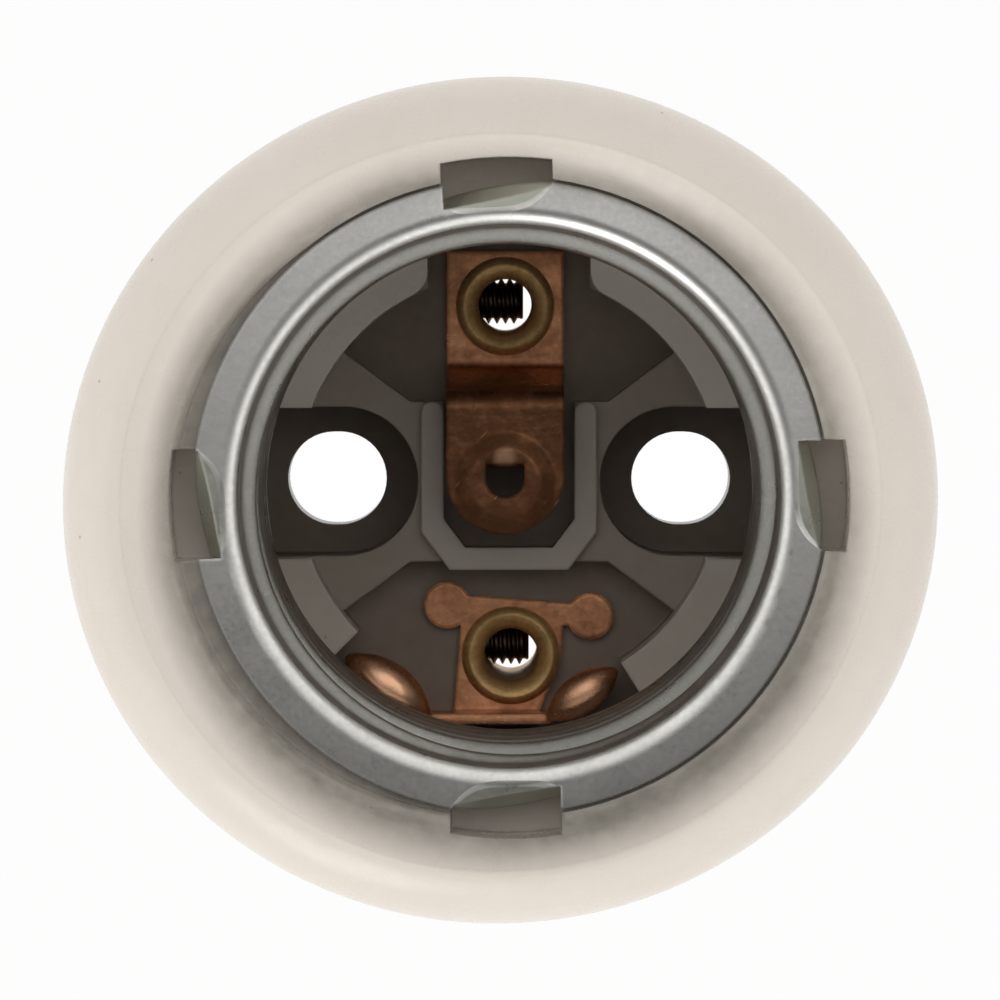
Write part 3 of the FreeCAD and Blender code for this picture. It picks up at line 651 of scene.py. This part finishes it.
def threaded_shank(length):
    """The thread along +Z from 0 to the given length, its tip closed and turned down."""
    shank = bmesh.new()
    flank = (thread_pitch - crest_width - root_width) / 2
    profile = [(thread_root, 0.0), (thread_crest, flank), (thread_crest, flank + crest_width),
               (thread_root, 2 * flank + crest_width), (thread_root, thread_pitch)]
    corners = [shank.verts.new((radius, 0.0, z - 2 * thread_pitch)) for radius, z in profile]
    edges = [shank.edges.new(pair) for pair in zip(corners, corners[1:])]
    turns = round(length / thread_pitch) + 3
    bmesh.ops.spin(shank, geom=corners + edges, cent=(0, 0, 0), axis=(0, 0, 1),
                   dvec=(0, 0, thread_pitch / steps_per_turn), angle=2 * pi * turns,
                   steps=steps_per_turn * turns)
    bmesh.ops.remove_doubles(shank, verts=shank.verts[:], dist=weld_distance)
    for height, side in ((0.0, -1), (length, 1)):
        everything = shank.verts[:] + shank.edges[:] + shank.faces[:]
        cut = bmesh.ops.bisect_plane(shank, geom=everything, plane_co=(0, 0, height),
                                     plane_no=(0, 0, side), clear_outer=True)
        rim = [edge for edge in cut["geom_cut"] if isinstance(edge, bmesh.types.BMEdge)]
        bmesh.ops.contextual_create(shank, geom=rim)
    for vert in shank.verts:
        depth = vert.co.z - (length - shank_chamfer)
        reach = vert.co.xy.length
        if depth > 0 and reach > thread_crest - depth:
            vert.co.xy *= (thread_crest - depth) / reach
    return shank


def slotted_head(radius):
    """A cheese head from Z = 0 down to its slotted face."""
    head = bmesh.new()
    bmesh.ops.create_circle(head, cap_ends=True, segments=72, radius=radius)
    for y in (-slot_width / 2, slot_width / 2):
        bmesh.ops.bisect_plane(head, geom=head.verts[:] + head.edges[:] + head.faces[:],
                               plane_co=(0, y, 0), plane_no=(0, 1, 0))
    solid = bmesh.ops.extrude_face_region(head, geom=head.faces[:])
    raised = [item for item in solid["geom"] if isinstance(item, bmesh.types.BMVert)]
    bmesh.ops.translate(head, verts=raised, vec=(0, 0, -(head_height - slot_depth)))
    cheeks = [face for face in solid["geom"] if isinstance(face, bmesh.types.BMFace)
              and abs(face.calc_center_median().y) > slot_width / 2]
    solid = bmesh.ops.extrude_face_region(head, geom=cheeks)
    raised = [item for item in solid["geom"] if isinstance(item, bmesh.types.BMVert)]
    bmesh.ops.translate(head, verts=raised, vec=(0, 0, -slot_depth))
    rim = [edge for edge in head.edges
           if all(abs(vert.co.z + head_height) < hair for vert in edge.verts)
           and all(vert.co.xy.length > radius - hair for vert in edge.verts)]
    bmesh.ops.bevel(head, geom=rim, offset=head_edge, segments=5, profile=0.5, affect="EDGES",
                    material=-1)
    return head


def screw_piece(node, body):
    """One terminal screw in place of its plain solid, its head to the left."""
    low, high = (Vector(corner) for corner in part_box(node))
    middle = (low + high) / 2
    radius = (high.y - low.y) / 2
    length = high.x - low.x - head_height
    whole = bpy.data.meshes.new(node + "_threaded")
    both = bmesh.new()
    for half in (threaded_shank(length), slotted_head(radius)):
        half.to_mesh(whole)
        half.free()
        both.from_mesh(whole)
    bmesh.ops.recalc_face_normals(both, faces=both.faces[:])
    to_place = Matrix.Translation((low.x + head_height, middle.y, middle.z))
    lying = Matrix.Rotation(pi / 2, 4, "Y")
    bmesh.ops.transform(both, matrix=to_place @ lying, verts=both.verts[:])
    both.to_mesh(whole)
    both.free()
    whole.polygons.foreach_set("use_smooth", [True] * len(whole.polygons))
    whole.set_sharp_from_angle(angle=radians(sharp_angle))
    whole.materials.append(steel)
    piece = bpy.data.objects.new(node + "_threaded", whole)
    bpy.context.scene.collection.objects.link(piece)
    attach(piece, body)
    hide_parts(node)


screw_piece("centre_terminal_screw", "centre_screw")
screw_piece("side_terminal_screw", "side_screw")
